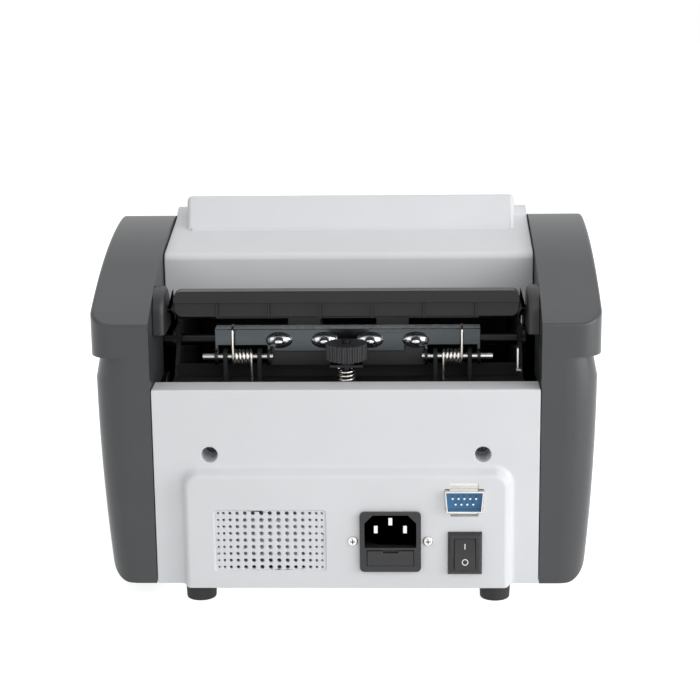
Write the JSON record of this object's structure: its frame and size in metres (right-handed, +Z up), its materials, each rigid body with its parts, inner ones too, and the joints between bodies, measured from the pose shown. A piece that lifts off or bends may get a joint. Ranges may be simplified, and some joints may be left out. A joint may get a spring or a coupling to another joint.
{
  "type": "banknote counting machine",
  "caption": "Desktop banknote counter with dark side covers, a rear hopper above an adjustable feed gap, a rear panel with inlet, switch and port, and a front stacker under a sloping console.",
  "frame": {"origin": "on the ground under the middle of the machine's bounding box", "axes": "+Z up, +Y from the front (stacker) to the rear (panel with the inlet), +X to the right when looking along +Y"},
  "size_m": [0.242, 0.2396, 0.1805],
  "materials": {
    "casing_grey": "fine matte texture",
    "cover_grey": "satin",
    "gloss_black": "gloss",
    "black_plastic": "satin",
    "key_plastic": "satin",
    "rubber_black": "matte",
    "zinc_plate": "bright zinc plate",
    "steel": "turned",
    "nickel": "nickel plate",
    "port_blue": "satin",
    "pulley_plastic": "satin",
    "board_green": "satin"
  },
  "bodies": {
    "chassis": {"rear_panel": "casing_grey", "top_cover": "casing_grey", "front_console": "casing_grey", "stacker_floor": "casing_grey", "side_cover_left": "cover_grey", "side_cover_right": "cover_grey", "hopper_cheek_left": "cover_grey", "hopper_cheek_right": "cover_grey", "hopper_tray": "gloss_black", "display_window": "gloss_black", "power_inlet": "black_plastic", "switch_housing": "black_plastic", "stacker_back": "black_plastic", "note_guide": "black_plastic", "rubber_feet": "rubber_black", "drive_belts": "rubber_black", "chassis_plate_left": "zinc_plate", "chassis_plate_right": "zinc_plate", "rear_crossmember": "zinc_plate", "base_tray": "zinc_plate", "pivot_pins": "steel", "gap_stud": "steel", "rear_screws": "steel", "tie_rods": "steel", "shaft_bearings": "steel", "drive_motor": "steel", "transformer": "steel", "inlet_pins": "nickel", "serial_shell": "nickel", "serial_insert": "port_blue", "main_board": "board_green", "console_board": "board_green"},
    "gap_arm": {"gap_bracket": "zinc_plate", "retard_block": "black_plastic", "retard_pad": "rubber_black", "retard_screws": "steel", "torsion_spring_left": "steel", "torsion_spring_right": "steel"},
    "washer": {"gap_washer": "steel", "gap_spring": "steel"},
    "knob": {"gap_knob": "black_plastic"},
    "rocker": {"switch_rocker": "black_plastic"},
    "fuse": {"fuse_drawer": "black_plastic"},
    "start": {"key_start": "key_plastic"},
    "mode": {"key_mode": "key_plastic"},
    "add": {"key_add": "key_plastic"},
    "clear": {"key_clear": "key_plastic"},
    "transport": {"transport_shaft": "steel", "transport_rollers": "rubber_black", "transport_pulley": "pulley_plastic"},
    "feed": {"feed_shaft": "steel", "feed_rollers": "rubber_black", "feed_pulley": "pulley_plastic"},
    "stack": {"stacker_shaft": "steel", "stacker_wheels": "rubber_black", "stacker_pulley": "pulley_plastic"},
    "motor": {"motor_pulley": "pulley_plastic"},
    "pinch": {"pinch_rollers": "rubber_black"}
  },
  "joints": [
    {"name": "knob_turn", "type": "hinge", "parent": "washer", "child": "knob", "pos_m": [0, 0.085, 0.118], "axis": [0, 0, 1], "range_deg": [-360, 360]},
    {"name": "knob_travel", "type": "slide", "parent": "chassis", "child": "washer", "axis": [0, 0, 1], "range_m": [-0.0007, 0.0007], "deforming": ["gap_spring"]},
    {"name": "gap_swing", "type": "hinge", "parent": "chassis", "child": "gap_arm", "pos_m": [0, 0.071, 0.1123], "axis": [1, 0, 0], "range_deg": [-2.87, 2.87]},
    {"name": "rocker_tilt", "type": "hinge", "parent": "chassis", "child": "rocker", "pos_m": [-0.0565, 0.1178, 0.0267], "axis": [1, 0, 0], "range_deg": [-30.9, 0]},
    {"name": "fuse_slide", "type": "slide", "parent": "chassis", "child": "fuse", "axis": [0, 1, 0], "range_m": [0, 0.015]},
    {"name": "key_start_press", "type": "slide", "parent": "chassis", "child": "start", "axis": [0, 0.6293, -0.7771], "range_m": [0, 0.0012], "stiffness_N_per_m": 400, "springref_m": -0.0015},
    {"name": "key_mode_press", "type": "slide", "parent": "chassis", "child": "mode", "axis": [0, 0.6293, -0.7771], "range_m": [0, 0.0012], "stiffness_N_per_m": 400, "springref_m": -0.0015},
    {"name": "key_add_press", "type": "slide", "parent": "chassis", "child": "add", "axis": [0, 0.6293, -0.7771], "range_m": [0, 0.0012], "stiffness_N_per_m": 400, "springref_m": -0.0015},
    {"name": "key_clear_press", "type": "slide", "parent": "chassis", "child": "clear", "axis": [0, 0.6293, -0.7771], "range_m": [0, 0.0012], "stiffness_N_per_m": 400, "springref_m": -0.0015},
    {"name": "transport_spin", "type": "hinge", "parent": "chassis", "child": "transport", "pos_m": [0, 0.01965, 0.08], "axis": [1, 0, 0], "continuous": true},
    {"name": "feed_spin", "type": "hinge", "parent": "chassis", "child": "feed", "pos_m": [0, 0.04225, 0.114], "axis": [1, 0, 0], "continuous": true},
    {"name": "stacker_spin", "type": "hinge", "parent": "chassis", "child": "stack", "pos_m": [0, -0.03835, 0.062], "axis": [1, 0, 0], "continuous": true},
    {"name": "motor_spin", "type": "hinge", "parent": "chassis", "child": "motor", "pos_m": [0, 0.06, 0.04], "axis": [1, 0, 0], "continuous": true},
    {"name": "pinch_spin", "type": "hinge", "parent": "chassis", "child": "pinch", "pos_m": [0, 0.01965, 0.0555], "axis": [1, 0, 0], "continuous": true}
  ],
  "couplings": [
    {"joint": "knob_turn", "follows": "knob_travel", "rad_per_m": 8975.9},
    {"joint": "gap_swing", "follows": "knob_travel", "rad_per_m": 71.429},
    {"joint": "feed_spin", "follows": "transport_spin", "ratio": 1},
    {"joint": "stacker_spin", "follows": "transport_spin", "ratio": 0.64706},
    {"joint": "motor_spin", "follows": "transport_spin", "ratio": 1.5714},
    {"joint": "pinch_spin", "follows": "transport_spin", "ratio": -2}
  ]
}
